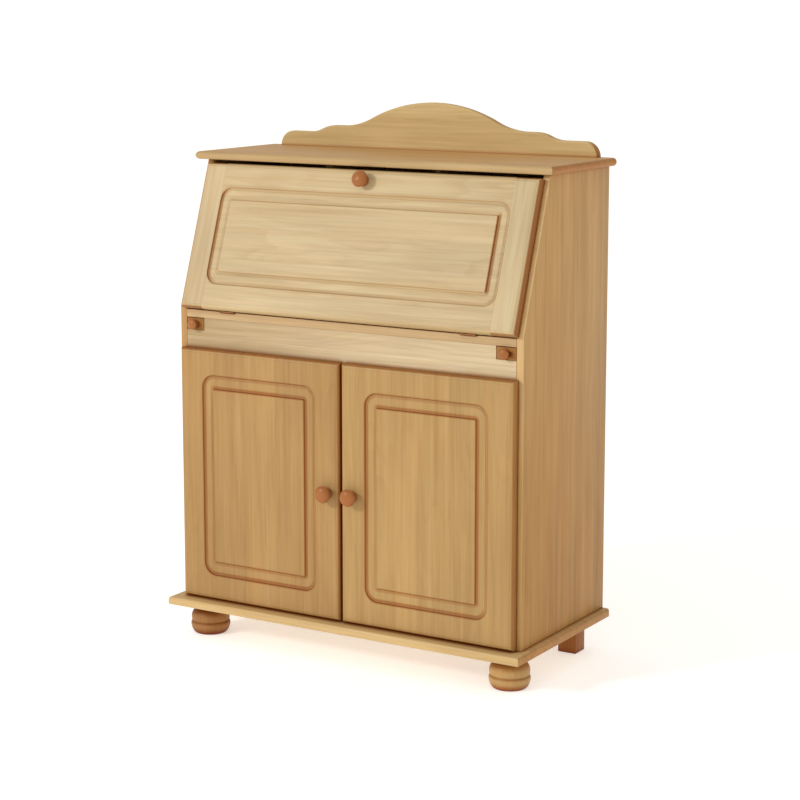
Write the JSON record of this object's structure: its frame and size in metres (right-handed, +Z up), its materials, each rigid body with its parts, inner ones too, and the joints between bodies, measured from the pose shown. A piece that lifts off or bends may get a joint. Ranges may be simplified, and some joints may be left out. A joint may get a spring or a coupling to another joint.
{
  "type": "secretary desk",
  "caption": "Pine secretary desk with a sloping fall-front flap on pull-out supports, a two-door cupboard below, turned front feet and a shaped upstand on top.",
  "frame": {"origin": "on the floor, at the middle of the overall width and depth", "axes": "+Z up, the front with the doors and flap faces -Y, +X to the right of a person facing the desk's front"},
  "size_m": [0.862, 0.418, 1.149],
  "materials": {
    "case_pine": "honey lacquered pine",
    "door_pine": "honey lacquered pine, vertical grain",
    "flap_pine": "pale lacquered pine, grain along the length",
    "inner_pine": "thinly lacquered pine",
    "back_panel_wood": "plain plywood",
    "stained_wood": "turned, reddish-brown lacquer",
    "support_wood": "lacquered, dark end grain",
    "dowel_wood": "raw beech",
    "nickel_steel": "nickel-plated",
    "bronzed_brass": "bronzed"
  },
  "bodies": {
    "case": {"side_panel_left": "case_pine", "side_panel_right": "case_pine", "top_board": "case_pine", "base_board": "case_pine", "back_panel": "back_panel_wood", "desk_board": "case_pine", "front_rail": "case_pine", "crest": "case_pine", "loper_guide_left": "inner_pine", "loper_guide_right": "inner_pine", "cupboard_shelf": "inner_pine", "shelf_pins": "nickel_steel", "pigeonhole_shelf": "inner_pine", "divider_lower_left": "inner_pine", "divider_lower_right": "inner_pine", "divider_upper_left": "inner_pine", "divider_upper_right": "inner_pine", "front_foot_left": "case_pine", "front_foot_right": "case_pine", "rear_foot_left": "case_pine", "rear_foot_right": "case_pine", "foot_bolts": "nickel_steel", "case_dowels": "dowel_wood", "hinge_arms_left": "nickel_steel", "hinge_arms_right": "nickel_steel", "hinge_arm_screws": "nickel_steel", "flap_hinge_desk_leaves": "bronzed_brass", "flap_hinge_pins": "bronzed_brass", "desk_leaf_screws": "bronzed_brass", "back_panel_nails": "nickel_steel"},
    "flap": {"flap_panel": "flap_pine", "flap_end_left": "flap_pine", "flap_end_right": "flap_pine", "flap_knob": "stained_wood", "flap_hinge_flap_leaves": "bronzed_brass", "flap_screws": "bronzed_brass"},
    "door_left_body": {"door_left": "door_pine", "door_knob_left": "stained_wood", "hinge_cups_left": "nickel_steel", "door_screws_left": "nickel_steel"},
    "door_right_body": {"door_right": "door_pine", "door_knob_right": "stained_wood", "hinge_cups_right": "nickel_steel", "door_screws_right": "nickel_steel"},
    "support_left": {"loper_left": "support_wood", "loper_knob_left": "stained_wood", "loper_stop_left": "dowel_wood"},
    "support_right": {"loper_right": "support_wood", "loper_knob_right": "stained_wood", "loper_stop_right": "dowel_wood"},
    "drawer_left": {"drawer_front_left": "inner_pine", "drawer_box_left": "inner_pine", "drawer_bottom_left": "inner_pine", "drawer_knob_left": "stained_wood"},
    "drawer_right": {"drawer_front_right": "inner_pine", "drawer_box_right": "inner_pine", "drawer_bottom_right": "inner_pine", "drawer_knob_right": "stained_wood"}
  },
  "joints": [
    {"name": "flap_hinge", "type": "hinge", "parent": "case", "child": "flap", "pos_m": [0, -0.1636, 0.716], "axis": [1, 0, 0], "range_deg": [0, 109.3]},
    {"name": "door_left_hinge", "type": "hinge", "parent": "case", "child": "door_left_body", "pos_m": [-0.413, -0.163, 0.3625], "axis": [0, 0, -1], "range_deg": [0, 105]},
    {"name": "door_right_hinge", "type": "hinge", "parent": "case", "child": "door_right_body", "pos_m": [0.413, -0.163, 0.3625], "axis": [0, 0, 1], "range_deg": [0, 105]},
    {"name": "support_left_slide", "type": "slide", "parent": "case", "child": "support_left", "axis": [0, -1, 0], "range_m": [0, 0.25]},
    {"name": "support_right_slide", "type": "slide", "parent": "case", "child": "support_right", "axis": [0, -1, 0], "range_m": [0, 0.25]},
    {"name": "drawer_left_slide", "type": "slide", "parent": "case", "child": "drawer_left", "axis": [0, -1, 0], "range_m": [0, 0.11]},
    {"name": "drawer_right_slide", "type": "slide", "parent": "case", "child": "drawer_right", "axis": [0, -1, 0], "range_m": [0, 0.11]}
  ]
}
